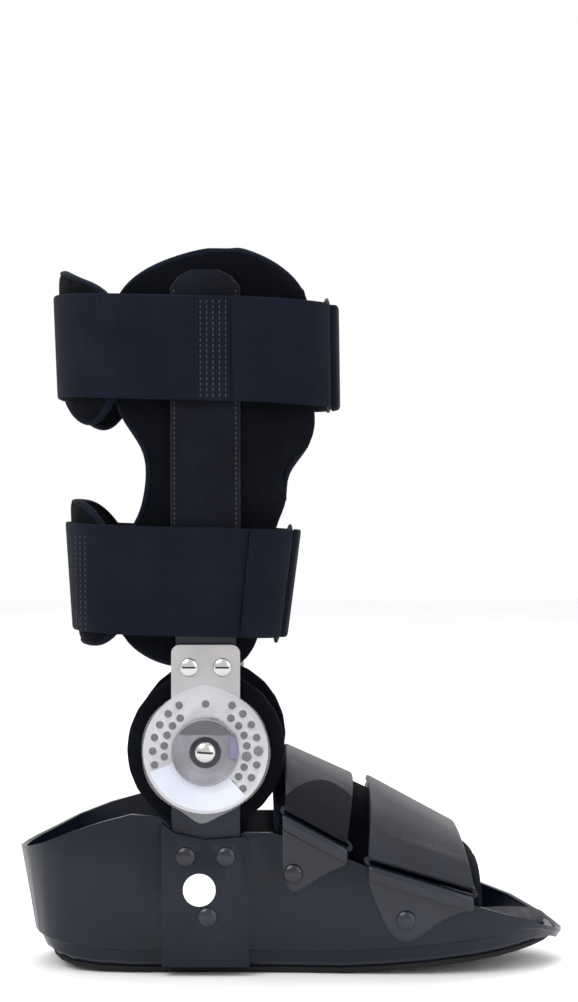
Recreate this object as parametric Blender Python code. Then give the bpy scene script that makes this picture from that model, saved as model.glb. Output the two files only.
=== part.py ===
"""Hinged walking boot: a moulded sole shell, a hinged upright on each side, padded liners and strap loops.

Metres. +X runs to the toe, -Y is the lateral side, +Z is up, and the origin is on the floor under mid-sole.
"""

import math
from collections import namedtuple

import bmesh
import bpy
from mathutils import Vector

for old in list(bpy.data.objects):
    bpy.data.objects.remove(old, do_unlink=True)

# Overall sizes
SOLE_LENGTH = 0.270
SOLE_WIDTH = 0.092
CUP_HEIGHT = 0.077
BOOT_HEIGHT = 0.348
GAP = 0.0003

# Sole
SHELL_WALL = 0.003
FLOOR_WALL = 0.0035
OUTSOLE_THICK = 0.003
INSOLE_THICK = 0.005
RIDGE_HEIGHT = 0.012
TOE_LIFT = 0.012
HEEL_LIFT = 0.005
BRACKET_THICK = 0.0048
BRACKET_WIDTH = 0.042

# Hinge, measured out from the middle plane of the boot
HINGE_X = -0.041
HINGE_RISE = 0.031
HINGE_Z = CUP_HEIGHT + HINGE_RISE
WALL_SHARE = 0.88
WALL_Y = WALL_SHARE * SOLE_WIDTH / 2
ARM_THICK = 0.002
ARM_WIDTH = 0.033
DIAL_RADIUS = 0.030
PAD_RADIUS = 0.0384
PAD_THICK = 0.006
COVER_RADIUS = 0.0305
WINDOW_RADIUS = 0.0162
RIVET_RADIUS = 0.0052
ARM_TOP_Z = HINGE_Z + 0.051

# Calf section
LINER_THICK = 0.0057
LINER_INNER_Y = WALL_Y - GAP - LINER_THICK
FLARE_START_Z = ARM_TOP_Z + 0.003
FLARE = 0.011
BAR_WIDTH = 0.029
SLEEVE_WIDTH = 0.0335
SLEEVE_THICK = 0.0048
PAD_BAND_THICK = 0.0052
STRAP_THICK = 0.0017

# Strap rings
ROD_RADIUS = 0.0012
ROD_PITCH = 0.0080

BLACK, GREY, WHITE = (0.012, 0.013, 0.018), (0.16, 0.16, 0.17), (0.82, 0.84, 0.86)
LOOKS = {
    "shell": ((0.022, 0.027, 0.046), 0.32, 0.0),
    "rubber": ((0.014, 0.014, 0.016), 0.75, 0.0),
    "insole": (GREY, 0.9, 0.0),
    "foam": (BLACK, 0.9, 0.0),
    "silver": ((0.62, 0.60, 0.60), 0.38, 0.9),
    "dark_steel": ((0.05, 0.05, 0.055), 0.4, 0.8),
    "rivet": ((0.03, 0.032, 0.04), 0.3, 0.6),
    "clear": (WHITE, 0.12, 0.0),
    "smoky": ((0.16, 0.14, 0.19), 0.15, 0.0),
    "strap": ((0.020, 0.022, 0.036), 0.85, 0.0),
    "foot_strap": ((0.035, 0.038, 0.052), 0.8, 0.0),
    "vinyl": ((0.018, 0.02, 0.03), 0.35, 0.0),
    "disc": (WHITE, 0.5, 0.0),
}
SIDES = {"l": -1, "m": 1}


def look(name):
    """The named material, made on first use."""
    found = bpy.data.materials.get(name)
    if found:
        return found
    colour, roughness, metallic = LOOKS[name]
    made = bpy.data.materials.new(name)
    made.use_nodes = True
    shader = made.node_tree.nodes["Principled BSDF"]
    shader.inputs["Base Color"].default_value = (*colour, 1)
    shader.inputs["Roughness"].default_value = roughness
    shader.inputs["Metallic"].default_value = metallic
    made.diffuse_color = (*colour, 1)
    return made


def solid(name, points, faces, material, parent=None, smooth=40):
    """One closed mesh object in place, its faces turned out."""
    mesh = bpy.data.meshes.new(name)
    shift = parent.location if parent else Vector()
    mesh.from_pydata([Vector(p) - shift for p in points], [], faces)
    work = bmesh.new()
    work.from_mesh(mesh)
    bmesh.ops.recalc_face_normals(work, faces=work.faces)
    work.to_mesh(mesh)
    work.free()
    mesh.materials.append(look(material))
    mesh.shade_smooth()
    mesh.set_sharp_from_angle(angle=math.radians(smooth))
    made = bpy.data.objects.new(name, mesh)
    bpy.context.scene.collection.objects.link(made)
    made.parent = parent
    return made


def boolean(target, cutter, operation="DIFFERENCE"):
    """Cuts or joins a helper, which stays hidden."""
    cutter.hide_render = True
    cutter.display_type = "WIRE"
    step = target.modifiers.new(operation.title(), "BOOLEAN")
    step.operation = operation
    step.object = cutter


def between(rows, x, column, along="along"):
    """The straight-line value of a table's column at x."""
    for low, high in zip(rows, rows[1:]):
        start, end = getattr(low, along), getattr(high, along)
        if x <= end:
            share = max(0.0, (x - start) / (end - start))
            return getattr(low, column) * (1 - share) + getattr(high, column) * share
    return getattr(rows[-1], column)


def stacked(name, rings, material, parent=None, caps="fan", closed=False):
    """Joins rings of equally many points. Caps are fans, or strips across a ring that mirrors itself."""
    count = len(rings[0])
    points = [p for ring in rings for p in ring]
    faces = []
    for row in range(len(rings) - (0 if closed else 1)):
        a, b = row * count, (row + 1) % len(rings) * count
        faces += [(a + i, a + (i + 1) % count, b + (i + 1) % count, b + i) for i in range(count)]
    if not closed:
        for base in (0, (len(rings) - 1) * count):
            if caps == "fan":
                faces.append([base + i for i in range(count)])
                continue
            for i in range(count // 2):
                across = [base + i, base + i + 1, base + count - i - 1, base + (count - i) % count]
                faces.append(list(dict.fromkeys(across)))
    return solid(name, points, faces, material, parent)


def sheet(name, rows, inner, outer, material, parent=None):
    """A wall laid over a grid of points, from the inner to the outer distance along the grid's normal."""
    high, wide = len(rows), len(rows[0])
    below, above = [], []
    for i in range(high):
        for j in range(wide):
            up = rows[min(i + 1, high - 1)][j] - rows[max(i - 1, 0)][j]
            along = rows[i][min(j + 1, wide - 1)] - rows[i][max(j - 1, 0)]
            normal = along.cross(up).normalized()
            below.append(rows[i][j] + normal * inner)
            above.append(rows[i][j] + normal * outer)
    size = high * wide
    faces = []
    for i in range(high - 1):
        for j in range(wide - 1):
            a = i * wide + j
            faces.append((a, a + 1, a + wide + 1, a + wide))
            faces.append((size + a, size + a + wide, size + a + wide + 1, size + a + 1))
    edge = [j for j in range(wide)] + [i * wide + wide - 1 for i in range(1, high)]
    edge += [(high - 1) * wide + j for j in range(wide - 2, -1, -1)] + [i * wide for i in range(high - 2, 0, -1)]
    for a, b in zip(edge, edge[1:] + edge[:1]):
        faces.append((a, size + a, size + b, b))
    return solid(name, below + above, faces, material, parent)


def slab(name, outline, near, far, material, parent=None, centre=(0, 0)):
    """An (x, z) outline made solid from y = near to y = far."""
    rings = [[(x + centre[0], y, z + centre[1]) for x, z in outline] for y in (near, far)]
    return stacked(name, rings, material, parent)


def circle(radius, count, wave=None):
    """Points round a circle from straight up, clockwise to the toe; wave(turn) scales the radius."""
    turns = [2 * math.pi * i / count for i in range(count)]
    return [
        (radius * (wave(t) if wave else 1) * math.sin(t), radius * (wave(t) if wave else 1) * math.cos(t))
        for t in turns
    ]


def turned(name, profile, centre, side, material, parent=None, count=20):
    """Turns a closed (radius, y) profile about the y line through centre (x, z)."""
    rings = []
    for radius, y in profile:
        rings.append([(centre[0] + x, side * y, centre[1] + z) for x, z in circle(radius, count)])
    return stacked(name, rings, material, parent, closed=True)


def stud(name, layers, centre, side, material, parent=None, count=16):
    """A solid turned piece: (radius, y) layers from its inner end out to its crown."""
    rings = [[(centre[0] + x, side * y, centre[1] + z) for x, z in circle(r, count)] for r, y in layers]
    return stacked(name, rings, material, parent)


def dome(radius, base, height, shaft, tail, tail_radius):
    """The layers of a domed rivet: tail, shaft, then a crown standing on base."""
    layers = [(tail_radius, tail - 0.0008), (tail_radius, tail), (shaft, tail), (shaft, base)]
    for share in (1.0, 0.85, 0.5):
        layers.append((radius * share, base + height * math.sqrt(1 - share * share)))
    return layers


# Sole outline. along: share of the sole's length from the heel; half: of its half width; rim: of the cup's height
Station = namedtuple("Station", "along half rim")
SOLE = [
    Station(0.000, 0.00, 0.73),
    Station(0.007, 0.22, 0.74),
    Station(0.022, 0.41, 0.76),
    Station(0.052, 0.61, 0.80),
    Station(0.096, 0.77, 0.87),
    Station(0.156, 0.855, 0.945),
    Station(0.215, WALL_SHARE, 1.00),
    Station(0.265, WALL_SHARE, 0.98),
    Station(0.290, WALL_SHARE, 0.91),
    Station(0.348, WALL_SHARE, 0.86),
    Station(0.419, WALL_SHARE, 0.885),
    Station(0.467, WALL_SHARE, 0.885),
    Station(0.530, 0.90, 0.83),
    Station(0.593, 0.93, 0.74),
    Station(0.667, 0.97, 0.635),
    Station(0.744, 1.00, 0.53),
    Station(0.826, 0.967, 0.44),
    Station(0.878, 0.88, 0.38),
    Station(0.919, 0.74, 0.335),
    Station(0.952, 0.57, 0.28),
    Station(0.978, 0.38, 0.24),
    Station(0.993, 0.19, 0.21),
    Station(1.000, 0.00, 0.20),
]


def share_of(x):
    return x / SOLE_LENGTH + 0.5


def wall_at(x):
    """Distance of the shell's outer wall from the middle plane."""
    return between(SOLE, share_of(x), "half") * SOLE_WIDTH / 2


def under(x):
    """Height of the tread above the floor: flat in the middle, lifted at the heel and the toe."""
    share = share_of(x)
    if share > 0.59:
        return TOE_LIFT * ((share - 0.59) / 0.41) ** 1.3
    return HEEL_LIFT * max(0.0, (0.245 - share) / 0.245) ** 2


def sole_ring(inset, height, slope=0.0):
    """A ring round the sole, set in from the outline, its heel sloped forward; height is a function of x."""
    flat = []
    for row in SOLE:
        flat.append(((row.along - 0.5) * SOLE_LENGTH, -row.half * SOLE_WIDTH / 2))
    flat += [(x, -y) for x, y in flat[-2:0:-1]]
    ring = []
    for i, (x, y) in enumerate(flat):
        before, after = flat[i - 1], flat[(i + 1) % len(flat)]
        way = Vector((after[0] - before[0], after[1] - before[1])).normalized()
        heel = max(0.0, (-SOLE_LENGTH / 3 - x) / (SOLE_LENGTH / 6))
        place = Vector((x - way.y * inset + slope * heel * heel, y + way.x * inset, 0))
        place.z = height(x)
        ring.append(place)
    return ring


def floor_top(x):
    return under(x) + OUTSOLE_THICK + GAP + FLOOR_WALL


def rim(x):
    return between(SOLE, share_of(x), "rim") * CUP_HEIGHT


def ridge(x):
    return min(under(x) + RIDGE_HEIGHT, rim(x) - 0.002)


def sole_shell():
    """The moulded boat with its heel cup, and a raised bracket with an arm pocket on each side."""
    base = OUTSOLE_THICK + GAP
    wall = SHELL_WALL
    rings = [
        sole_ring(0.0045, lambda x: under(x) + base, 0.012),
        sole_ring(0.0018, lambda x: min(under(x) + base + 0.0025, ridge(x) - 0.0025), 0.0105),
        sole_ring(0.0012, lambda x: ridge(x) - 0.001, 0.0085),
        sole_ring(0.0, ridge, 0.0075),
        sole_ring(0.0, rim, 0.0),
        sole_ring(wall, rim, 0.0),
        sole_ring(wall, lambda x: min(floor_top(x) + 0.008, rim(x) - 0.001), 0.0075),
        sole_ring(wall + 0.004, floor_top, 0.0105),
    ]
    shell = stacked("sole_shell", rings, "shell", caps="across")
    for code, side in SIDES.items():
        left, right = HINGE_X - BRACKET_WIDTH / 2, HINGE_X + BRACKET_WIDTH / 2
        low, crease = 0.0045, 0.016
        top = [(left, rim(left) - 0.0008), (left + 0.006, rim(left + 0.006) - 0.0012), (HINGE_X, rim(HINGE_X) - 0.0008)]
        top += [(right - 0.002, rim(right) - 0.0012), (right, rim(right) - 0.004)]
        outline = [(left, low)] + top + [(right, low)]
        deep, face = WALL_Y - SHELL_WALL / 2, WALL_Y + BRACKET_THICK
        bracket = slab("bracket_" + code, outline, side * deep, side * face, "shell")
        boolean(shell, bracket, "UNION")
        half = ARM_WIDTH / 2 + GAP
        pocket = [(HINGE_X - half, crease), (HINGE_X - half, CUP_HEIGHT + 0.013), (HINGE_X + half, CUP_HEIGHT + 0.013), (HINGE_X + half, crease)]
        near, far = side * (WALL_Y - 0.0001), side * (WALL_Y + ARM_THICK + 2 * GAP + 0.0003)
        boolean(shell, slab("pocket_" + code, pocket, near, far, "shell"))
        boolean(shell, shaft_cutters("bracket_holes_" + code, side, WALL_Y - 0.0105, WALL_Y + 0.0095))
    return shell


# Base rivets. ahead: from the hinge line, as a share of the bracket's width; high: share of the cup's height
Rivet = namedtuple("Rivet", "name ahead high")
BASE_RIVETS = [Rivet("1", -0.23, 0.745), Rivet("2", 0.23, 0.745), Rivet("3", 0.02, 0.37)]
BASE_RIVET_SHAFT = 0.0022


def rivet_place(rivet):
    return HINGE_X + rivet.ahead * BRACKET_WIDTH, rivet.high * CUP_HEIGHT


def joined_cylinders(name, places, side, near, far, count=8):
    """One helper that holds a round cutter of its own radius at each (x, z, radius)."""
    points, faces = [], []
    for x, z, radius in places:
        base = len(points)
        for y in (near, far):
            points += [(x + a, side * y, z + b) for a, b in circle(radius, count)]
        faces += [(base + i, base + (i + 1) % count, base + count + (i + 1) % count, base + count + i)
                  for i in range(count)]
        faces += [[base + i for i in range(count)], [base + count + i for i in range(count)]]
    return solid(name, points, faces, "shell")


def shaft_cutters(name, side, near, far):
    places = [(*rivet_place(rivet), BASE_RIVET_SHAFT + GAP) for rivet in BASE_RIVETS]
    return joined_cylinders(name, places, side, near, far)


def outsole():
    rings = [
        sole_ring(0.0060, under, 0.0125),
        sole_ring(0.0045, lambda x: under(x) + 0.001, 0.0122),
        sole_ring(0.0045, lambda x: under(x) + OUTSOLE_THICK, 0.012),
    ]
    stacked("outsole", rings, "rubber", caps="across")


def insole():
    edge = SHELL_WALL + 0.0055
    rings = [
        sole_ring(edge, lambda x: floor_top(x) + GAP, 0.0110),
        sole_ring(edge, lambda x: floor_top(x) + INSOLE_THICK - 0.0015, 0.0100),
        sole_ring(edge + 0.002, lambda x: floor_top(x) + INSOLE_THICK, 0.0100),
    ]
    stacked("insole", rings, "insole", caps="across")


sole_shell()
outsole()
insole()

# Everything above the hinge turns about this empty, on the ankle axis
shank = bpy.data.objects.new("shank", None)
shank.location = (HINGE_X, 0, HINGE_Z)
bpy.context.scene.collection.objects.link(shank)

# Layers through the hinge, from the middle plane outwards
ARM_Y = WALL_Y + GAP
DIAL_Y = ARM_Y + ARM_THICK + GAP
COVER_Y = DIAL_Y + ARM_THICK + 0.0019
COVER_THICK = 0.0016
WINDOW_Y = COVER_Y + COVER_THICK + GAP
WINDOW_THICK = 0.0012
PIVOT_SHAFT = 0.0029
SCREW_SHAFT = 0.0018
SCREW_RADIUS = 0.0045
AXIS = (HINGE_X, HINGE_Z)

# Dial holes. first: turn of the first hole in degrees; count: at 15 degree steps; out: share of the dial's radius
HoleRow = namedtuple("HoleRow", "first count out")
DIAL_HOLES = [
    HoleRow(30.0, 9, 0.845),
    HoleRow(37.5, 8, 0.665),
    HoleRow(-105.0, 6, 0.845),
    HoleRow(-97.5, 5, 0.665),
    HoleRow(0.0, 1, 0.755),
]
HOLE_RADIUS = 0.0018
PIN_TURNS = {"1": (90.0, 0.845), "2": (97.5, 0.665)}
SCREWS = {"1": -0.008, "2": 0.008}
SCREW_Z = ARM_TOP_Z - 0.0108


def keyhole(radius, width, reach, round_by, count=22):
    """A disc with a bar of this width running up to reach, its far corners rounded; about the disc's centre."""
    half = width / 2
    start = math.asin(half / radius)
    turns = [start + (2 * math.pi - 2 * start) * i / count for i in range(count + 1)]
    points = [(radius * math.sin(t), radius * math.cos(t)) for t in turns]
    for sign in (-1, 1):
        corner = [(sign * (half - round_by * (1 - math.cos(a))), reach - round_by * (1 - math.sin(a)))
                  for a in (0.0, math.pi / 6, math.pi / 3, math.pi / 2)]
        points += corner if sign < 0 else corner[::-1]
    return points


def dial_holes():
    places = []
    for row in DIAL_HOLES:
        for i in range(row.count):
            turn, out = math.radians(row.first + 15 * i), row.out * DIAL_RADIUS
            places.append((HINGE_X + out * math.sin(turn), HINGE_Z + out * math.cos(turn), HOLE_RADIUS))
    return places


def screw_places():
    return [(HINGE_X + ahead, SCREW_Z, SCREW_SHAFT + GAP) for ahead in SCREWS.values()]


def arms(code, side):
    """The lower arm in its pocket and the perforated upper arm outside it."""
    pocket_end = 0.017
    outline = [(x, -z) for x, z in keyhole(DIAL_RADIUS - 0.001, ARM_WIDTH, HINGE_Z - pocket_end, 0.003)]
    ends = side * ARM_Y, side * (ARM_Y + ARM_THICK)
    lower = slab("lower_arm_" + code, outline, *ends, "dark_steel", None, AXIS)
    places = [(*rivet_place(rivet), BASE_RIVET_SHAFT + GAP) for rivet in BASE_RIVETS]
    places.append((*AXIS, PIVOT_SHAFT + GAP))
    boolean(lower, joined_cylinders("lower_holes_" + code, places, side, ARM_Y - 0.002, ARM_Y + 0.004))

    outline = keyhole(DIAL_RADIUS, ARM_WIDTH, ARM_TOP_Z - HINGE_Z, 0.004)
    ends = side * DIAL_Y, side * (DIAL_Y + ARM_THICK)
    upper = slab("upper_arm_" + code, outline, *ends, "silver", shank, AXIS)
    boolean(upper, joined_cylinders("dial_holes_" + code, dial_holes(), side, DIAL_Y - 0.002, DIAL_Y + 0.004, 6))
    places = screw_places() + [(*AXIS, PIVOT_SHAFT + GAP)]
    boolean(upper, joined_cylinders("arm_holes_" + code, places, side, DIAL_Y - 0.002, DIAL_Y + 0.004, 12))


def cover_wave(turn):
    """The clear cover's edge: soft lobes and a tab at the bottom."""
    lobes = 0.018 * math.cos(6 * turn)
    tab = math.exp(-(((turn - math.pi) / 0.16) ** 2))
    return 1 + lobes + 0.10 * tab


def washer(name, radius, hole, near, far, side, material, wave=None, count=24, parent=None):
    """A flat disc with a round hole on the ankle axis."""
    rings = []
    for size, y, shape in ((radius, near, wave), (radius, far, wave), (hole, far, None), (hole, near, None)):
        rings.append([(HINGE_X + x, side * y, HINGE_Z + z) for x, z in circle(size, count, shape)])
    return stacked(name, rings, material, parent, closed=True)


def hinge(code, side):
    """The foam pad, the covers, the pivot and the limit pins of one side."""
    bore = PIVOT_SHAFT + GAP
    pad_far = WALL_Y - 0.0001
    washer("ankle_pad_" + code, PAD_RADIUS, bore + 0.001, pad_far - PAD_THICK, pad_far, side, "foam")
    washer("dial_cover_" + code, COVER_RADIUS, bore, COVER_Y, COVER_Y + COVER_THICK, side, "clear", cover_wave, 32)
    washer("dial_window_" + code, WINDOW_RADIUS, bore, WINDOW_Y, WINDOW_Y + WINDOW_THICK, side, "smoky")
    crown = WINDOW_Y + WINDOW_THICK + GAP
    layers = dome(RIVET_RADIUS, crown, 0.0026, PIVOT_SHAFT, pad_far - PAD_THICK - GAP, 0.006)
    stud("pivot_" + code, layers, AXIS, side, "silver", None, 12)
    for number, (turn, out) in PIN_TURNS.items():
        reach = out * DIAL_RADIUS
        place = (HINGE_X + reach * math.sin(math.radians(turn)), HINGE_Z + reach * math.cos(math.radians(turn)))
        shaft, head = HOLE_RADIUS - GAP, HOLE_RADIUS + 0.0006
        face = DIAL_Y + ARM_THICK + GAP
        layers = [(shaft, DIAL_Y), (shaft, face), (head, face), (head, face + 0.0007), (head * 0.7, face + 0.0011)]
        stud("limit_pin_" + code + number, layers, place, side, "foam", shank, 8)


def rivets(code, side):
    """The three domed rivets through the bracket, the lower arm and the shell wall."""
    for rivet in BASE_RIVETS:
        face = WALL_Y + BRACKET_THICK + GAP
        layers = dome(0.0046, face, 0.0019, BASE_RIVET_SHAFT, WALL_Y - SHELL_WALL - GAP, 0.0036)
        stud("base_rivet_" + code + rivet.name, layers, rivet_place(rivet), side, "rivet", None, 8)


for code, side in SIDES.items():
    arms(code, side)
    hinge(code, side)
    rivets(code, side)
disc_face = WALL_Y + BRACKET_THICK + GAP
slab("size_disc", circle(0.0079, 24), -disc_face, -disc_face - 0.0005, "disc", None, (HINGE_X - 0.003, 0.0415))

# Calf section. high: share of the way from the hinge to the top; back, front: the oval's ends as shares of SOLE_LENGTH
Oval = namedtuple("Oval", "high back front")
CALF_OVAL = [
    Oval(0.1590, -0.366, -0.042),
    Oval(0.3461, -0.378, -0.024),
    Oval(0.4562, -0.384, -0.009),
    Oval(0.5070, -0.387, 0.014),
    Oval(0.5650, -0.391, 0.040),
    Oval(0.6157, -0.393, 0.060),
    Oval(0.6738, -0.397, 0.066),
    Oval(0.7100, -0.399, 0.057),
    Oval(0.8130, -0.4035, 0.054),
    Oval(1.0000, -0.408, 0.060),
]
OVAL_POWER = 3.0


def calf_z(share):
    return HINGE_Z + share * (BOOT_HEIGHT - HINGE_Z)


def calf_share(z):
    return (z - HINGE_Z) / (BOOT_HEIGHT - HINGE_Z)


def flare(z):
    return FLARE * max(0.0, z - FLARE_START_Z) / (BOOT_HEIGHT - FLARE_START_Z)


def oval_point(turn, z, out=0.0, ahead=0.0, aside=0.0):
    """A point of the calf's oval at height z: turn 0 is the front, 90 degrees the lateral side, 180 the back."""
    row = calf_share(z)
    back = between(CALF_OVAL, row, "back", "high") * SOLE_LENGTH - out
    front = between(CALF_OVAL, row, "front", "high") * SOLE_LENGTH + ahead
    half = LINER_INNER_Y + LINER_THICK + flare(z) + out + aside
    c, s = math.cos(turn), math.sin(turn)
    x = (front + back) / 2 + (front - back) / 2 * math.copysign(abs(c) ** (2 / OVAL_POWER), c)
    return Vector((x, -half * math.copysign(abs(s) ** (2 / OVAL_POWER), s), z))


def oval_side(x, z, out=0.0):
    """Distance from the middle plane of the calf's oval at (x, z)."""
    row = calf_share(z)
    back = between(CALF_OVAL, row, "back", "high") * SOLE_LENGTH - out
    front = between(CALF_OVAL, row, "front", "high") * SOLE_LENGTH + out
    share = min(1.0, abs(x - (front + back) / 2) / ((front - back) / 2))
    return (LINER_INNER_Y + LINER_THICK + flare(z) + out) * (1 - share**OVAL_POWER) ** (1 / OVAL_POWER)


# Side liner's outline. high: share of the way from the hinge to the top; back, front: its edges as shares of SOLE_LENGTH
Edge = namedtuple("Edge", "high back front")
SIDE_LINER = [
    Edge(0.1706, -0.215, -0.095),
    Edge(0.1880, -0.262, -0.072),
    Edge(0.2242, -0.305, -0.056),
    Edge(0.2895, -0.318, -0.048),
    Edge(0.4055, -0.312, -0.034),
    Edge(0.4562, -0.275, -0.024),
    Edge(0.4998, -0.262, -0.003),
    Edge(0.5577, -0.255, -0.010),
    Edge(0.6085, -0.262, 0.036),
    Edge(0.6593, -0.300, 0.048),
    Edge(0.7100, -0.318, 0.040),
    Edge(0.7970, -0.322, 0.038),
    Edge(0.8768, -0.322, 0.038),
    Edge(0.9275, -0.300, 0.026),
    Edge(0.9638, -0.255, -0.010),
    Edge(0.9884, -0.195, -0.055),
    Edge(1.0000, -0.150, -0.090),
]


def side_liner(code, side):
    rows = []
    for edge in SIDE_LINER:
        z = calf_z(edge.high)
        row = []
        for i in range(7):
            x = (edge.back + (edge.front - edge.back) * i / 6) * SOLE_LENGTH
            row.append(Vector((x, side * oval_side(x, z), z)))
        rows.append(row if side < 0 else row[::-1])
    sheet("side_liner_" + code, rows, -LINER_THICK, 0.0, "foam", shank)


# Calf pads. turn: degrees round the oval from the front; low, top: edges as for the oval
PadEdge = namedtuple("PadEdge", "turn low top")
UPPER_PAD = [
    PadEdge(117, 0.7100, 0.9058),
    PadEdge(126, 0.6694, 0.9304),
    PadEdge(136, 0.6491, 0.9420),
    PadEdge(150, 0.6665, 0.9565),
    PadEdge(165, 0.7028, 0.9696),
    PadEdge(180, 0.7100, 0.9753),
]
LOWER_PAD = [
    PadEdge(117, 0.2387, 0.4200),
    PadEdge(126, 0.2199, 0.4519),
    PadEdge(136, 0.2097, 0.4809),
    PadEdge(150, 0.2097, 0.4998),
    PadEdge(165, 0.2126, 0.5027),
    PadEdge(180, 0.2141, 0.5027),
]


def calf_pad(name, edges):
    """A padded band round the back of the calf, outside the side liners."""
    whole = edges + [PadEdge(360 - e.turn, e.low, e.top) for e in edges[-2::-1]]
    rows = []
    for share in (0.0, 0.12, 0.5, 0.88, 1.0):
        row = []
        for edge in whole:
            z = calf_z(edge.low + (edge.top - edge.low) * share)
            row.append(oval_point(math.radians(edge.turn), z))
        rows.append(row[::-1])
    sheet(name, rows, GAP, GAP + PAD_BAND_THICK, "foam", shank)


def upright(code, side):
    """The bar bolted inside the upper arm, joggled out into its fabric sleeve."""
    joggle = 0.0012
    path = [(ARM_TOP_Z - 0.0155, 0.0), (ARM_TOP_Z + 0.0005, 0.0), (ARM_TOP_Z + 0.0055, joggle)]
    path.append((BOOT_HEIGHT - 0.020, joggle))
    left, right = HINGE_X - BAR_WIDTH / 2, HINGE_X + BAR_WIDTH / 2
    rows = []
    for z, out in path:
        y = side * (ARM_Y + out + flare(z))
        row = [Vector((left, y, z)), Vector((right, y, z))]
        rows.append(row if side < 0 else row[::-1])
    bar = sheet("upright_bar_" + code, rows, 0.0, ARM_THICK, "dark_steel", shank)
    places = screw_places()
    boolean(bar, joined_cylinders("bar_holes_" + code, places, side, ARM_Y - 0.002, ARM_Y + 0.0035, 12))

    half, foot, head = SLEEVE_WIDTH / 2, ARM_TOP_Z + 0.0065, BOOT_HEIGHT - 0.010

    def ring(z, half, near, far, round_by=0.001):
        mid, crown = (near + far) / 2, half - round_by
        points = [(-half, near), (half, near), (half, mid), (crown, far), (-crown, far), (-half, mid)]
        return [(HINGE_X + ahead, side * (y + flare(z)), z) for ahead, y in points]

    near, far = WALL_Y + 0.0001, WALL_Y + 0.0001 + SLEEVE_THICK
    slot_near, slot_far = ARM_Y + joggle - GAP, ARM_Y + joggle + ARM_THICK + GAP
    inner = BAR_WIDTH / 2 + GAP + 0.0004
    rings = [
        ring(BOOT_HEIGHT - 0.0192, inner, slot_near, slot_far, 0.0),
        ring(foot, inner, slot_near, slot_far, 0.0),
        ring(foot, half, near, far),
        ring(head - 0.008, half, near, far),
        ring(head - 0.003, half - 0.004, near, far - 0.0003),
        ring(head, half - 0.010, near, far - 0.001),
    ]
    stacked("upright_sleeve_" + code, rings, "strap", shank)
    for number, ahead in SCREWS.items():
        face = DIAL_Y + ARM_THICK + GAP
        layers = [(SCREW_SHAFT, ARM_Y), (SCREW_SHAFT, face), (SCREW_RADIUS, face)]
        layers += [(SCREW_RADIUS * 0.9, face + 0.0009), (SCREW_RADIUS * 0.5, face + 0.0016)]
        place = (HINGE_X + ahead, SCREW_Z)
        stud("arm_screw_" + code + number, layers, place, side, "silver", shank, 10)


for code, side in SIDES.items():
    side_liner(code, side)
    upright(code, side)
calf_pad("calf_pad_upper", UPPER_PAD)
calf_pad("calf_pad_lower", LOWER_PAD)

# Straps. Each end turns round a ring's rod and lies back on itself
TURN_RADIUS = ROD_RADIUS + 2 * GAP + STRAP_THICK / 2
LAY = STRAP_THICK + GAP


def folded(base, start_tail, end_tail, lay=LAY):
    """The path of a strap whose ends turn outwards round a rod. base: (point, outward) pairs; tails in points."""
    def lift(step):
        share = min(1.0, step / 3) ** 1.5
        return 2 * TURN_RADIUS * (1 - share) + lay * share

    def turn(end, out, way):
        angles = [math.pi * k / 5 for k in range(1, 5)]
        return [end + out * TURN_RADIUS * (1 - math.cos(a)) + way * TURN_RADIUS * math.sin(a) for a in angles]

    first_way = (base[0][0] - base[1][0]).normalized()
    last_way = (base[-1][0] - base[-2][0]).normalized()
    path = [base[i][0] + base[i][1] * lift(i) for i in range(start_tail, -1, -1)]
    path += turn(*base[0], first_way)[::-1]
    path += [point for point, out in base]
    path += turn(*base[-1], last_way)
    path += [base[-1 - i][0] + base[-1 - i][1] * lift(i) for i in range(end_tail + 1)]
    return path


def with_outward(points, axis):
    """Pairs each point of a curve with the direction square to it and to the axis."""
    pairs = []
    for i, point in enumerate(points):
        way = points[min(i + 1, len(points) - 1)] - points[max(i - 1, 0)]
        pairs.append((point, way.cross(axis).normalized()))
    return pairs


def rod_at(base, end):
    point, out = base[end]
    return point + out * TURN_RADIUS


def ring_frame(name, corners, material, parent=None):
    """A closed rectangular wire ring through four corners."""
    plane = (corners[1] - corners[0]).cross(corners[2] - corners[1]).normalized()
    rings = []
    for i, corner in enumerate(corners):
        one = (corner - corners[i - 1]).normalized()
        two = (corners[(i + 1) % 4] - corner).normalized()
        miter = (one - two).normalized() / max(0.5, math.sqrt((1 + one.dot(two)) / 2))
        angles = [2 * math.pi * k / 6 for k in range(6)]
        rings.append([corner + (miter * math.cos(a) + plane * math.sin(a)) * ROD_RADIUS for a in angles])
    stacked(name, rings, material, parent, closed=True)


def stretched(a, b, by):
    way = (b - a).normalized()
    return a - way * by, b + way * by


# Calf straps. low, top: edges as for the oval; ahead, aside: room in front of and beside the liner
# tilt: how much lower the front lies than the back
CalfStrap = namedtuple("CalfStrap", "name low top ahead aside tilt flap")
CALF_STRAPS = [
    CalfStrap("upper", 0.6999, 0.9072, 0.0036, 0.0010, 0.0050, 5),
    CalfStrap("lower", 0.2315, 0.4490, 0.0030, 0.0034, 0.0040, 3),
]
RING_TURN = 24.0
STRAP_SAMPLES = 34


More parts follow.
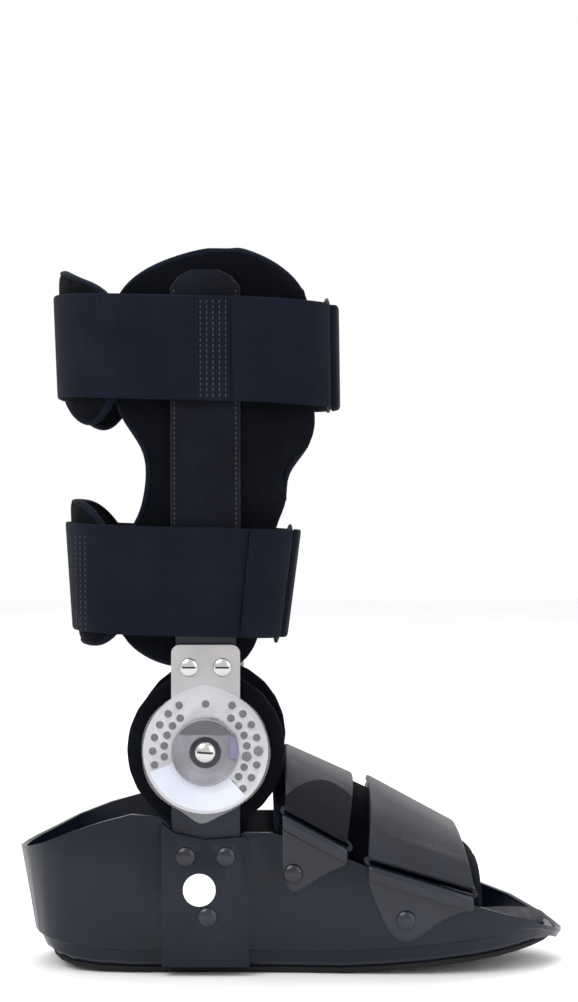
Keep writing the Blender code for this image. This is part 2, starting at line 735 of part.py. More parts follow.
def calf_strap(row):
    """A whole loop round liner, pads and uprights, joined at the front by its ring."""
    ring_half = math.degrees(ROD_PITCH / 2 / 0.045)
    rails, rods = [], []
    for share in (row.low, row.top):
        z = calf_z(share)
        start, end = RING_TURN - ring_half, RING_TURN + ring_half - 360
        points = []
        for i in range(STRAP_SAMPLES + 1):
            turn = math.radians(start + (end - start) * i / STRAP_SAMPLES)
            out = PAD_BAND_THICK + 5 * GAP + STRAP_THICK / 2
            place = oval_point(turn, z, out, row.ahead, row.aside)
            points.append(place - Vector((0, 0, row.tilt / 2 * math.cos(turn))))
        base = with_outward(points, Vector((0, 0, 1)))
        rails.append(folded(base, 3, row.flap))
        rods.append((rod_at(base, 0), rod_at(base, -1)))
    sheet("calf_strap_" + row.name, rails, -STRAP_THICK / 2, STRAP_THICK / 2, "strap", shank)
    near = stretched(rods[0][0], rods[1][0], 0.0045)
    far = stretched(rods[0][1], rods[1][1], 0.0045)
    ring_frame("calf_ring_" + row.name, [near[0], near[1], far[1], far[0]], "dark_steel", shank)


# Foot straps, rear edge and front edge. x: shares of SOLE_LENGTH; z: of CUP_HEIGHT; out: of half SOLE_WIDTH
FootEdge = namedtuple("FootEdge", "rod_x rod_z crest_x crest_z out")
FOOT_STRAPS = {
    "a": (FootEdge(-0.010, 0.9717, -0.011, 1.3694, 0.9130),
          FootEdge(0.100, 0.7683, 0.113, 1.1751, 0.9587)),
    "b": (FootEdge(0.137, 0.6734, 0.142, 1.1299, 1.0239),
          FootEdge(0.322, 0.4791, 0.304, 0.8180, 1.0239)),
}
FOOT_FLAPS = {"a": 6, "b": 14}
ARCH_POWER = 0.8
ARCH_SAMPLES = 20


def arch(edge, t, drop=0.0):
    """A point of a strap's edge: t runs from the medial rod over the instep to the lateral one."""
    rise, across = math.sin(math.pi * t), math.cos(math.pi * t)
    rise = abs(rise) ** ARCH_POWER
    low = edge.rod_z * CUP_HEIGHT + ROD_PITCH
    return Vector((
        (edge.rod_x + (edge.crest_x - edge.rod_x) * rise) * SOLE_LENGTH,
        math.copysign(abs(across) ** ARCH_POWER, across) * edge.out * SOLE_WIDTH / 2,
        low + (edge.crest_z * CUP_HEIGHT - low) * rise,
    ))


def foot_strap(code, edges):
    rails, rods = [], []
    rear, front = edges
    fall, run = (rear.crest_z - front.crest_z) * CUP_HEIGHT, (front.crest_x - rear.crest_x) * SOLE_LENGTH
    lay = LAY * math.hypot(run, fall) / run + GAP
    for edge in edges:
        points = [arch(edge, i / ARCH_SAMPLES) for i in range(ARCH_SAMPLES + 1)]
        base = with_outward(points, Vector((1, 0, 0)))
        rails.append(folded(base, 3, FOOT_FLAPS[code], lay))
        rods.append((rod_at(base, 0), rod_at(base, -1)))
    sheet("foot_strap_" + code, rails, -STRAP_THICK / 2, STRAP_THICK / 2, "foot_strap")
    for name, side in SIDES.items():
        end = 0 if side > 0 else 1
        upper = stretched(rods[0][end], rods[1][end], 0.0035)
        lower = stretched(*[rod_below(edge, side) for edge in edges], 0.0035)
        ring_frame(f"ring_{code}_{name}", [upper[0], upper[1], lower[1], lower[0]], "dark_steel")


def rod_below(edge, side):
    out = edge.out * SOLE_WIDTH / 2 + TURN_RADIUS
    return Vector((edge.rod_x * SOLE_LENGTH, side * out, edge.rod_z * CUP_HEIGHT))


# Strap tabs. along: share of the way from the rear rod end to the front one; low: bottom edge, share of CUP_HEIGHT
TabEdge = namedtuple("TabEdge", "along low")
TABS = {
    "a": [TabEdge(-0.05, 0.62), TabEdge(0.04, 0.535), TabEdge(0.16, 0.515), TabEdge(0.36, 0.555),
          TabEdge(0.62, 0.63), TabEdge(1.00, 0.70)],
    "b": [TabEdge(0.00, 0.58), TabEdge(0.12, 0.375), TabEdge(0.22, 0.245), TabEdge(0.34, 0.21),
          TabEdge(0.45, 0.22), TabEdge(0.62, 0.32), TabEdge(0.80, 0.39), TabEdge(1.00, 0.42)],
}
TAB_RIVETS = {"a": (0.0035, 0.635), "b": (0.2040, 0.355)}
TAB_THICK = STRAP_THICK


def strap_tab(code, side, name):
    """A tab riveted to the shell wall, its top edge folded out and down round the ring's lower rod."""
    rear, front = FOOT_STRAPS[code]
    rows = []
    for station in TABS[code]:
        share = station.along
        x = (rear.rod_x + (front.rod_x - rear.rod_x) * share) * SOLE_LENGTH
        z = (rear.rod_z + (front.rod_z - rear.rod_z) * share) * CUP_HEIGHT
        out = (rear.out + (front.out - rear.out) * share) * SOLE_WIDTH / 2
        low, wall = station.low * CUP_HEIGHT, wall_at(x) + 2 * GAP + TAB_THICK / 2
        stop = min(z - 0.002, max(low + 0.004, rim(x) + 0.0005))
        path = [(wall, low), (wall, (low + stop) / 2), (wall, stop), (out, z)]
        centre = out + TURN_RADIUS
        for k in range(1, 5):
            angle = math.pi * k / 5
            path.append((centre - TURN_RADIUS * math.cos(angle), z + TURN_RADIUS * math.sin(angle)))
        path += [(centre + TURN_RADIUS, z), (centre + TURN_RADIUS - 0.0008, z - 0.005)]
        points = [Vector((x, side * y, height)) for y, height in path]
        rows.append(points)
    tab = sheet(name, rows, -TAB_THICK / 2, TAB_THICK / 2, "vinyl")
    ahead, high = TAB_RIVETS[code]
    x, z = ahead * SOLE_LENGTH, high * CUP_HEIGHT
    wall = wall_at(x)
    cutter = joined_cylinders("tab_hole_" + name, [(x, z, BASE_RIVET_SHAFT + GAP)], side, wall - 0.006, wall + 0.006)
    boolean(tab, cutter)
    boolean(bpy.data.objects["sole_shell"], cutter)
    layers = dome(0.0046, wall + TAB_THICK + 4 * GAP, 0.0019, BASE_RIVET_SHAFT, wall - SHELL_WALL - 2 * GAP, 0.0034)
    stud(name.replace("tab_", "tab_rivet_"), layers, (x, z), side, "rivet", None, 8)


# Instep pad. x: share of SOLE_LENGTH; crest: share of the cup's height
PadRow = namedtuple("PadRow", "x crest")
INSTEP_PAD = [
    PadRow(-0.030, 1.378), PadRow(-0.011, 1.336), PadRow(0.050, 1.243), PadRow(0.113, 1.141),
    PadRow(0.142, 1.096), PadRow(0.225, 0.938), PadRow(0.304, 0.784), PadRow(0.330, 0.719), PadRow(0.342, 0.655),
]
INSTEP_THICK = 0.0045


def instep_pad():
    rows = []
    for row in INSTEP_PAD:
        x = row.x * SOLE_LENGTH
        half = wall_at(x) - SHELL_WALL - 0.0009
        low, high = rim(x) - 0.004, row.crest * CUP_HEIGHT
        points = []
        for i in range(11):
            rise, across = math.sin(math.pi * i / 10), math.cos(math.pi * i / 10)
            y = math.copysign(abs(across) ** ARCH_POWER, across) * half
            points.append(Vector((x, y, low + (high - low) * abs(rise) ** ARCH_POWER)))
        rows.append(points)
    sheet("instep_pad", rows, -INSTEP_THICK, 0.0, "foam")


for row in CALF_STRAPS:
    calf_strap(row)
for code, edges in FOOT_STRAPS.items():
    foot_strap(code, edges)
    for name, side in SIDES.items():
        strap_tab(code, side, f"tab_{code}_{name}")
instep_pad()
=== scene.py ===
import math
import bpy
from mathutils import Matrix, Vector


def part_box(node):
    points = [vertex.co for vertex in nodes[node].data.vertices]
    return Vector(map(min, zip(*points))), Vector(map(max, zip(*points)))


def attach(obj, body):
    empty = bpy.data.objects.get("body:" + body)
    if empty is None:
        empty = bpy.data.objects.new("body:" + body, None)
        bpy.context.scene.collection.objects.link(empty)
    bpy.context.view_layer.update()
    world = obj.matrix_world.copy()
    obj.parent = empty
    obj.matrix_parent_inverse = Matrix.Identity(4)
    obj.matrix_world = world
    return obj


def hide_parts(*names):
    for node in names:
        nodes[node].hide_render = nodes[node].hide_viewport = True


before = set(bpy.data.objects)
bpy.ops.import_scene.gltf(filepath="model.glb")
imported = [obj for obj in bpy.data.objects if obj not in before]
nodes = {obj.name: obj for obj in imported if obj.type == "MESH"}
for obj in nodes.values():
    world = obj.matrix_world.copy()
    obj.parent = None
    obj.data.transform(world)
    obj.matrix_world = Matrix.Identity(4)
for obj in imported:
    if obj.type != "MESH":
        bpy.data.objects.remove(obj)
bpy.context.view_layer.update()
print("stage: frame loaded")

sideSigns = {"l": -1, "m": 1}
hingeX, hingeZ = -0.041, 0.108


# selecting and copying

merging = {"distance": 0.00001, "flatTurn": 25, "squareTurn": 50}  # a solid's triangles back to clean faces


def selectOnly(piece):
    if bpy.context.object and bpy.context.object.mode != "OBJECT":
        bpy.ops.object.mode_set(mode="OBJECT")
    bpy.ops.object.select_all(action="DESELECT")
    piece.select_set(True)
    bpy.context.view_layer.objects.active = piece


def applyAll(piece):
    selectOnly(piece)
    for step in list(piece.modifiers):
        bpy.ops.object.modifier_apply(modifier=step.name)


def settle(piece):  # place and turn go into the mesh
    selectOnly(piece)
    bpy.ops.object.transform_apply(location=True, rotation=True, scale=True)


def copyNode(nodeName, pieceName):  # a merged copy of a solid, to work on
    piece = bpy.data.objects.new(pieceName, nodes[nodeName].data.copy())
    piece.data.materials.clear()
    bpy.context.scene.collection.objects.link(piece)
    selectOnly(piece)
    bpy.ops.object.mode_set(mode="EDIT")
    bpy.ops.mesh.select_all(action="SELECT")
    bpy.ops.mesh.remove_doubles(threshold=merging["distance"])
    bpy.ops.mesh.tris_convert_to_quads(face_threshold=math.radians(merging["flatTurn"]),
                                       shape_threshold=math.radians(merging["squareTurn"]))
    bpy.ops.object.mode_set(mode="OBJECT")
    return piece


def clearFlags(kind):  # nothing in the active piece's mesh stays selected
    bpy.ops.object.mode_set(mode="EDIT")
    bpy.ops.mesh.select_mode(type=kind)
    bpy.ops.mesh.select_all(action="DESELECT")
    bpy.ops.object.mode_set(mode="OBJECT")


def creaseSharp(piece, angle, amount):  # hard edges stay hard under subdivision
    selectOnly(piece)
    bpy.ops.object.mode_set(mode="EDIT")
    bpy.ops.mesh.select_mode(type="EDGE")
    bpy.ops.mesh.select_all(action="DESELECT")
    bpy.ops.mesh.edges_select_sharp(sharpness=math.radians(angle))
    bpy.ops.transform.edge_crease(value=amount)
    bpy.ops.object.mode_set(mode="OBJECT")


def addSubdivision(piece, levels):
    step = piece.modifiers.new("Subdivision", "SUBSURF")
    step.levels = step.render_levels = levels


def addBevel(piece, width, segments, angle):
    step = piece.modifiers.new("Bevel", "BEVEL")
    step.width, step.segments, step.limit_method = width, segments, "ANGLE"
    step.angle_limit = math.radians(angle)


def smoothFaces(piece, angle):
    selectOnly(piece)
    bpy.ops.object.shade_smooth_by_angle(angle=math.radians(angle))


def finishPiece(piece, material, body=None, hides=()):
    piece.data.materials.clear()
    piece.data.materials.append(material)
    if body:
        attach(piece, body)
    if hides:
        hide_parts(*hides)


# materials

def startMaterial(name):
    material = bpy.data.materials.new(name)
    material.use_nodes = True
    tree = material.node_tree
    coords = tree.nodes.new("ShaderNodeTexCoord")
    return material, tree, tree.nodes["Principled BSDF"], coords.outputs["Object"]


def addNoise(tree, coords, scale, detail):
    noise = tree.nodes.new("ShaderNodeTexNoise")
    noise.inputs["Scale"].default_value = scale
    noise.inputs["Detail"].default_value = detail
    tree.links.new(coords, noise.inputs["Vector"])
    return noise.outputs["Fac"]


def addWave(tree, coords, direction, period):
    wave = tree.nodes.new("ShaderNodeTexWave")
    wave.wave_type, wave.bands_direction = "BANDS", direction
    wave.inputs["Scale"].default_value = 0.314 / period  # at scale 1 the bands are 0.314 m apart
    tree.links.new(coords, wave.inputs["Vector"])
    return wave.outputs["Fac"]


def mathNode(tree, operation, first, second):
    node = tree.nodes.new("ShaderNodeMath")
    node.operation = operation
    for socket, value in zip(node.inputs, (first, second)):
        if isinstance(value, (int, float)):
            socket.default_value = value
        else:
            tree.links.new(value, socket)
    return node.outputs[0]


def ramp(tree, factor, dark, light, low=0.3, high=0.7):
    node = tree.nodes.new("ShaderNodeValToRGB")
    start, end = node.color_ramp.elements
    start.position, end.position = low, high
    start.color, end.color = (*dark, 1), (*light, 1)
    tree.links.new(factor, node.inputs["Fac"])
    return node.outputs["Color"]


def addBump(tree, shader, height, strength, distance):
    bump = tree.nodes.new("ShaderNodeBump")
    bump.inputs["Strength"].default_value = strength
    bump.inputs["Distance"].default_value = distance
    tree.links.new(height, bump.inputs["Height"])
    tree.links.new(bump.outputs["Normal"], shader.inputs["Normal"])


clothGrain = {"warpShare": 1.3, "fuzzScale": 2600, "patchScale": 38, "patchShare": 0.6, "weaveShare": 0.4,
              "sheenRoughness": 0.45, "bumpDepth": 0.0004}
plasticGrain = {"smearScale": 22, "low": 0.35, "high": 0.65, "smoother": 0.05, "rougher": 0.08,
                "coatRoughness": 0.12, "specular": 0.4, "bumpDepth": 0.0002}
clearGrain = {"hazeScale": 60, "bend": 1.49, "coat": 0.6, "bump": 0.08, "bumpDepth": 0.0004}


def clothMaterial(name, look):
    material, tree, shader, coords = startMaterial(name)
    weft = addWave(tree, coords, "Z", look["rib"])
    warp = addWave(tree, coords, "X", look["rib"] * clothGrain["warpShare"])
    fuzz = addNoise(tree, coords, clothGrain["fuzzScale"], 2)
    patch = addNoise(tree, coords, clothGrain["patchScale"], 3)
    weave = mathNode(tree, "MULTIPLY", weft, warp)
    height = mathNode(tree, "ADD", weave, mathNode(tree, "MULTIPLY", fuzz, look["fuzz"]))
    shade = mathNode(tree, "ADD", mathNode(tree, "MULTIPLY", patch, clothGrain["patchShare"]),
                     mathNode(tree, "MULTIPLY", weave, clothGrain["weaveShare"]))
    tree.links.new(ramp(tree, shade, look["dark"], look["light"]), shader.inputs["Base Color"])
    shader.inputs["Roughness"].default_value = look["roughness"]
    shader.inputs["Sheen Weight"].default_value = look["sheen"]
    shader.inputs["Sheen Roughness"].default_value = clothGrain["sheenRoughness"]
    shader.inputs["Specular IOR Level"].default_value = look["specular"]
    addBump(tree, shader, height, look["bump"], clothGrain["bumpDepth"])
    return material


def addHookPatch(material, patch):  # the fuzzy dark end of a strap, with an arched edge, on the outer side
    tree = material.node_tree
    shader = tree.nodes["Principled BSDF"]
    coords = tree.nodes.new("ShaderNodeTexCoord")
    split = tree.nodes.new("ShaderNodeSeparateXYZ")
    tree.links.new(coords.outputs["Object"], split.inputs[0])
    ahead = mathNode(tree, "SUBTRACT", split.outputs["X"], patch["middle"])
    arch = mathNode(tree, "MULTIPLY", mathNode(tree, "MULTIPLY", ahead, ahead), patch["curve"])
    fall = mathNode(tree, "SUBTRACT", mathNode(tree, "SUBTRACT", patch["top"], arch), split.outputs["Z"])
    inside = mathNode(tree, "MULTIPLY", mathNode(tree, "GREATER_THAN", fall, 0.0),
                      mathNode(tree, "LESS_THAN", split.outputs["Y"], patch["outer"]))
    mix = tree.nodes.new("ShaderNodeMix")
    mix.data_type = "RGBA"
    colourA, colourB, mixed = mix.inputs[6], mix.inputs[7], mix.outputs[2]  # a Mix node's colour sockets
    colour = shader.inputs["Base Color"].links[0].from_socket
    grain = addNoise(tree, coords.outputs["Object"], patch["grain"], 3)
    fuzz = ramp(tree, grain, patch["dark"], patch["light"])
    tree.links.new(inside, mix.inputs["Factor"])
    tree.links.new(colour, colourA)
    tree.links.new(fuzz, colourB)
    tree.links.new(mixed, shader.inputs["Base Color"])
    rough = tree.nodes.new("ShaderNodeMapRange")
    rough.inputs["To Min"].default_value = patch["smooth"]
    rough.inputs["To Max"].default_value = patch["rough"]
    tree.links.new(inside, rough.inputs["Value"])
    tree.links.new(rough.outputs[0], shader.inputs["Roughness"])


def plasticMaterial(name, look):
    material, tree, shader, coords = startMaterial(name)
    grain = addNoise(tree, coords, look["grain"], 4)
    smear = addNoise(tree, coords, plasticGrain["smearScale"], 3)
    colour = ramp(tree, smear, look["dark"], look["light"], plasticGrain["low"], plasticGrain["high"])
    tree.links.new(colour, shader.inputs["Base Color"])
    rough = tree.nodes.new("ShaderNodeMapRange")
    rough.inputs["To Min"].default_value = look["roughness"] - plasticGrain["smoother"]
    rough.inputs["To Max"].default_value = look["roughness"] + plasticGrain["rougher"]
    tree.links.new(smear, rough.inputs["Value"])
    tree.links.new(rough.outputs[0], shader.inputs["Roughness"])
    shader.inputs["Metallic"].default_value = look.get("metallic", 0.0)
    shader.inputs["Coat Weight"].default_value = look.get("coat", 0.0)
    shader.inputs["Coat Roughness"].default_value = plasticGrain["coatRoughness"]
    shader.inputs["Specular IOR Level"].default_value = look.get("specular", plasticGrain["specular"])
    addBump(tree, shader, grain, look["bump"], plasticGrain["bumpDepth"])
    return material


def clearMaterial(name, look):
    material, tree, shader, coords = startMaterial(name)
    haze = addNoise(tree, coords, clearGrain["hazeScale"], 3)
    tree.links.new(ramp(tree, haze, look["dark"], look["light"]), shader.inputs["Base Color"])
    shader.inputs["Roughness"].default_value = look["roughness"]
    shader.inputs["Alpha"].default_value = look["alpha"]
    shader.inputs["IOR"].default_value = clearGrain["bend"]
    shader.inputs["Coat Weight"].default_value = clearGrain["coat"]
    addBump(tree, shader, haze, clearGrain["bump"], clearGrain["bumpDepth"])
    return material


strapLook = {"dark": (0.0025, 0.0035, 0.009), "light": (0.007, 0.009, 0.019), "rib": 0.0011, "fuzz": 0.9,
             "roughness": 0.86, "sheen": 0.015, "bump": 0.4, "specular": 0.10}
linerLook = {"dark": (0.0015, 0.0018, 0.003), "light": (0.005, 0.006, 0.010), "rib": 0.0008, "fuzz": 1.4,
             "roughness": 0.95, "sheen": 0.02, "bump": 0.5, "specular": 0.05}
sleeveLook = {"dark": (0.003, 0.0035, 0.006), "light": (0.010, 0.011, 0.018), "rib": 0.0006, "fuzz": 1.6,
              "roughness": 0.92, "sheen": 0.05, "bump": 0.6, "specular": 0.08}
footStrapLook = {"dark": (0.004, 0.005, 0.010), "light": (0.010, 0.012, 0.022), "rib": 0.0009, "fuzz": 0.8,
                 "roughness": 0.42, "sheen": 0.02, "bump": 0.25, "specular": 0.34}
insoleLook = {"dark": (0.030, 0.030, 0.036), "light": (0.065, 0.065, 0.075), "rib": 0.0010, "fuzz": 1.0,
              "roughness": 0.9, "sheen": 0.05, "bump": 0.4, "specular": 0.1}
shellLook = {"dark": (0.0010, 0.0025, 0.008), "light": (0.003, 0.0055, 0.014), "grain": 900, "roughness": 0.27,
             "bump": 0.05, "coat": 0.12, "specular": 0.22}
rubberLook = {"dark": (0.004, 0.004, 0.005), "light": (0.009, 0.009, 0.010), "grain": 1200, "roughness": 0.7,
              "bump": 0.35, "specular": 0.2}
silverLook = {"dark": (0.36, 0.35, 0.36), "light": (0.47, 0.45, 0.46), "grain": 700, "roughness": 0.32,
              "bump": 0.10, "metallic": 0.9}
steelLook = {"dark": (0.004, 0.005, 0.010), "light": (0.010, 0.012, 0.020), "grain": 900, "roughness": 0.36,
             "bump": 0.10, "metallic": 0.4}
rivetLook = {"dark": (0.003, 0.004, 0.009), "light": (0.007, 0.009, 0.018), "grain": 700, "roughness": 0.24,
             "bump": 0.05, "metallic": 0.2, "coat": 0.35}
vinylLook = {"dark": (0.002, 0.003, 0.008), "light": (0.006, 0.008, 0.016), "grain": 1500, "roughness": 0.28,
             "bump": 0.15, "coat": 0.2, "specular": 0.35}
chromeLook = {"dark": (0.46, 0.45, 0.45), "light": (0.60, 0.59, 0.58), "grain": 500, "roughness": 0.2,
              "bump": 0.03, "metallic": 1.0}
indexLook = {"dark": (0.10, 0.09, 0.16), "light": (0.17, 0.15, 0.25), "grain": 600, "roughness": 0.3,
             "bump": 0.05}
# painted shadow: dark grey for the opaque segment across the top of the dial window
paintedShadowLook = {"dark": (0.06, 0.06, 0.065), "light": (0.09, 0.09, 0.10), "grain": 600, "roughness": 0.25,
             "bump": 0.05}
discLook = {"dark": (0.78, 0.81, 0.84), "light": (0.86, 0.89, 0.92), "grain": 500, "roughness": 0.5,
            "bump": 0.05}
coverLook = {"dark": (0.80, 0.82, 0.88), "light": (0.92, 0.94, 0.98), "roughness": 0.05, "alpha": 0.07}
windowLook = {"dark": (0.16, 0.16, 0.18), "light": (0.30, 0.30, 0.34), "roughness": 0.12, "alpha": 0.62}
threadLook = {"dark": (0.022, 0.024, 0.034), "light": (0.050, 0.054, 0.070), "rib": 0.0006, "fuzz": 1.0,
              "roughness": 0.8, "sheen": 0.1, "bump": 0.3, "specular": 0.3}
# painted reflection: milky white that stands for the pale floor mirrored in the clear cover's lower half
paintedReflectionLook = {"dark": (0.44, 0.47, 0.54), "light": (0.54, 0.57, 0.64), "grain": 400, "roughness": 0.35,
            "bump": 0.05}

strapCloth = clothMaterial("strapCloth", strapLook)
linerCloth = clothMaterial("linerCloth", linerLook)
sleeveCloth = clothMaterial("sleeveCloth", sleeveLook)
footStrapCloth = clothMaterial("footStrapCloth", footStrapLook)
hookPatch = {"middle": 0.0125, "top": 0.0934, "curve": 28.0, "outer": -0.018, "dark": (0.0010, 0.0012, 0.002),
             "light": (0.005, 0.006, 0.009), "grain": 1500, "smooth": 0.42, "rough": 0.98}
rearStrapCloth = clothMaterial("rearStrapCloth", footStrapLook)
addHookPatch(rearStrapCloth, hookPatch)
insoleCloth = clothMaterial("insoleCloth", insoleLook)
shellPlastic = plasticMaterial("shellPlastic", shellLook)
treadRubber = plasticMaterial("treadRubber", rubberLook)
stampedSilver = plasticMaterial("stampedSilver", silverLook)
darkSteel = plasticMaterial("darkSteel", steelLook)
rivetBlack = plasticMaterial("rivetBlack", rivetLook)
glossVinyl = plasticMaterial("glossVinyl", vinylLook)
polishedSteel = plasticMaterial("polishedSteel", chromeLook)
indexPlastic = plasticMaterial("indexPlastic", indexLook)
sewingThread = clothMaterial("sewingThread", threadLook)
paintedReflectionPlastic = plasticMaterial("paintedReflectionPlastic", paintedReflectionLook)
paintedShadowPlastic = plasticMaterial("paintedShadowPlastic", paintedShadowLook)
discWhite = plasticMaterial("discWhite", discLook)
clearCover = clearMaterial("clearCover", coverLook)
smokyWindow = clearMaterial("smokyWindow", windowLook)
print("stage: materials")


# padded pieces

padded = {
    "side_liner_l": {"body": "shank", "voxel": 0.0022, "swell": 0.0007, "binding": 0.0011},
    "side_liner_m": {"body": "shank", "voxel": 0.0022, "swell": 0.0007, "binding": 0.0011},
    "calf_pad_upper": {"body": "shank", "voxel": 0.0024, "swell": 0.0006, "binding": 0.0010},
    "calf_pad_lower": {"body": "shank", "voxel": 0.0024, "swell": 0.0006, "binding": 0.0010},
    "instep_pad": {"body": "base", "voxel": 0.0022, "swell": 0.0006, "binding": 0.0009},
    "ankle_pad_l": {"body": "base", "voxel": 0.0014, "swell": 0.0004, "binding": 0},
    "ankle_pad_m": {"body": "base", "voxel": 0.0014, "swell": 0.0004, "binding": 0},
}
tape = {"sharp": 50, "wraps": 3.0, "offset": -0.5, "levels": 2}
air = {"quality": 5, "pressure": 4, "frames": 8}
foam = {"relax": 0.5, "rounds": 6, "levels": 1, "smooth": 60}


def bindingFrom(nodeName, pieceName, depth):  # a bound tape over the solid's own rim
    piece = copyNode(nodeName, pieceName)
    clearFlags("FACE")
    faces, edges = piece.data.polygons, {}
    for face in faces:
        for key in face.edge_keys:
            edges.setdefault(key, []).append(face)
    for face in faces:
        sharp = 0
        for key in face.edge_keys:
            for other in edges[key]:
                turn = face.normal.angle(other.normal, 0)
                if other.index != face.index and turn > math.radians(tape["sharp"]):
                    sharp += 1
        face.select = sharp < 2
    bpy.ops.object.mode_set(mode="EDIT")
    bpy.ops.mesh.delete(type="FACE")
    bpy.ops.object.mode_set(mode="OBJECT")
    step = piece.modifiers.new("Solidify", "SOLIDIFY")
    step.thickness, step.offset = depth * tape["wraps"], tape["offset"]
    addSubdivision(piece, tape["levels"])
    applyAll(piece)
    smoothFaces(piece, foam["smooth"])
    return piece


def puff(piece, swell):  # a short pressure run, each point held to a small move
    before = [vertex.co.copy() for vertex in piece.data.vertices]
    step = piece.modifiers.new("Cloth", "CLOTH")
    step.settings.quality = air["quality"]
    step.settings.use_pressure = True
    step.settings.uniform_pressure_force = air["pressure"]
    step.settings.effector_weights.gravity = 0
    for frameNumber in range(1, air["frames"] + 1):
        bpy.context.scene.frame_set(frameNumber)
    applyAll(piece)
    bpy.context.scene.frame_set(1)
    for vertex, start in zip(piece.data.vertices, before):
        move = vertex.co - start
        if move.length > swell:
            vertex.co = start + move.normalized() * swell


def makePadded(nodeName, settings):
    piece = copyNode(nodeName, nodeName + "_cloth")
    step = piece.modifiers.new("Remesh", "REMESH")
    step.mode, step.voxel_size = "VOXEL", settings["voxel"]
    step = piece.modifiers.new("Smooth", "SMOOTH")
    step.factor, step.iterations = foam["relax"], foam["rounds"]
    applyAll(piece)
    puff(piece, settings["swell"])
    addSubdivision(piece, foam["levels"])
    applyAll(piece)
    smoothFaces(piece, foam["smooth"])
    finishPiece(piece, linerCloth, settings["body"], [nodeName])
    if settings["binding"]:
        binding = bindingFrom(nodeName, nodeName + "_binding", settings["binding"])
        finishPiece(binding, strapCloth, settings["body"])


for nodeName, settings in padded.items():
    makePadded(nodeName, settings)
print("stage: padded pieces")


# straps

straps = {
    "calf_strap_upper": {"body": "shank", "slot": "strap", "material": strapCloth},
    "calf_strap_lower": {"body": "shank", "slot": "strap", "material": strapCloth},
    "foot_strap_a": {"body": "base", "slot": "foot_strap", "material": rearStrapCloth},
    "foot_strap_b": {"body": "base", "slot": "foot_strap", "material": footStrapCloth},
    "tab_a_l": {"body": "base", "slot": "vinyl", "material": glossVinyl},
    "tab_a_m": {"body": "base", "slot": "vinyl", "material": glossVinyl},
    "tab_b_l": {"body": "base", "slot": "vinyl", "material": glossVinyl},
    "tab_b_m": {"body": "base", "slot": "vinyl", "material": glossVinyl},
}
webbing = {"sharp": 50, "crease": 0.9, "levels": 2}


def makeStrap(nodeName, settings):
    piece = copyNode(nodeName, nodeName + "_webbing")
    creaseSharp(piece, webbing["sharp"], webbing["crease"])
    addSubdivision(piece, webbing["levels"])
    applyAll(piece)
    smoothFaces(piece, webbing["sharp"])
    finishPiece(piece, settings["material"], settings["body"], [nodeName])
    return piece


strapPieces = {nodeName: makeStrap(nodeName, settings) for nodeName, settings in straps.items()}
print("stage: straps")


# sleeves and stitches

sleeves = {"edge": 0.0011, "segments": 4, "bevelTurn": 30, "smooth": 50, "seamOut": 0.0147, "seamLow": 0.168,
           "seamHigh": 0.330, "pitch": 0.0024}
stitches = {"segments": 10, "rings": 6, "size": (0.00030, 0.00024, 0.00085), "margin": 0.0035, "pitch": 0.0026}


def makeSleeve(code):
    nodeName = "upright_sleeve_" + code
    piece = copyNode(nodeName, nodeName + "_cloth")
    addBevel(piece, sleeves["edge"], sleeves["segments"], sleeves["bevelTurn"])
    applyAll(piece)
    smoothFaces(piece, sleeves["smooth"])
    finishPiece(piece, sleeveCloth, "shank", [nodeName])
    return piece


def makeStitch():
    bpy.ops.object.select_all(action="DESELECT")
    bpy.ops.mesh.primitive_uv_sphere_add(segments=stitches["segments"], ring_count=stitches["rings"], radius=1)
    stitch = bpy.context.object
    stitch.scale = stitches["size"]
    settle(stitch)
    return stitch


def sewStitches(name, target, places, side):  # one stitch at each (x, z), on the outer face of that side
    model, made = makeStitch(), []
    for x, z in places:
        found, spot, normal, _ = target.ray_cast(Vector((x, side * 0.2, z)), Vector((0, -side, 0)))
        if not found:
            continue
        stitch = bpy.data.objects.new("stitch", model.data.copy())
        stitch.location = spot
        stitch.rotation_mode = "QUATERNION"
        stitch.rotation_quaternion = normal.to_track_quat("Y", "Z")
        bpy.context.scene.collection.objects.link(stitch)
        made.append(stitch)
    bpy.data.objects.remove(model, do_unlink=True)
    selectOnly(made[0])
    for stitch in made:
        stitch.select_set(True)
    bpy.ops.object.join()
    piece = bpy.context.object
    piece.name = name
    settle(piece)
    smoothFaces(piece, 60)
    finishPiece(piece, sewingThread, "shank")


def stitchColumns(xs, low, high, pitch):
    count = int((high - low) / pitch)
    return [(x, low + pitch * (i + 0.5)) for x in xs for i in range(count)]


sewn = [
    {"name": "upper_strap_stitches", "strap": "calf_strap_upper",
     "xs": (-0.0430, -0.0400, -0.0370, -0.0340, -0.0310)},
    {"name": "lower_strap_stitches", "strap": "calf_strap_lower", "xs": (-0.1040, -0.1015, -0.0990)},
]
for row in sewn:
    low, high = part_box(row["strap"])
    lowest, highest = low[2] + stitches["margin"], high[2] - stitches["margin"]
    places = stitchColumns(row["xs"], lowest, highest, stitches["pitch"])
    sewStitches(row["name"], strapPieces[row["strap"]], places, sideSigns["l"])
for code, side in sideSigns.items():
    sleeve = makeSleeve(code)
    edges = (hingeX - sleeves["seamOut"], hingeX + sleeves["seamOut"])
    places = stitchColumns(edges, sleeves["seamLow"], sleeves["seamHigh"], sleeves["pitch"])
    sewStitches("sleeve_stitches_" + code, sleeve, places, side)
print("stage: sleeves and stitches")


# the hinge

dial = {"radius": 0.030, "width": 0.033, "top": 0.159, "corner": 0.004, "hole": 0.0019, "holeTurn": 15,
        "pivotHole": 0.0032, "edge": 0.00022, "past": 0.003, "close": 0.0001}
holeRows = [{"first": 30, "count": 9, "out": 0.02535}, {"first": 37.5, "count": 8, "out": 0.01995},
            {"first": -105, "count": 6, "out": 0.02535}, {"first": -97.5, "count": 5, "out": 0.01995},
            {"first": 0, "count": 1, "out": 0.02265}]


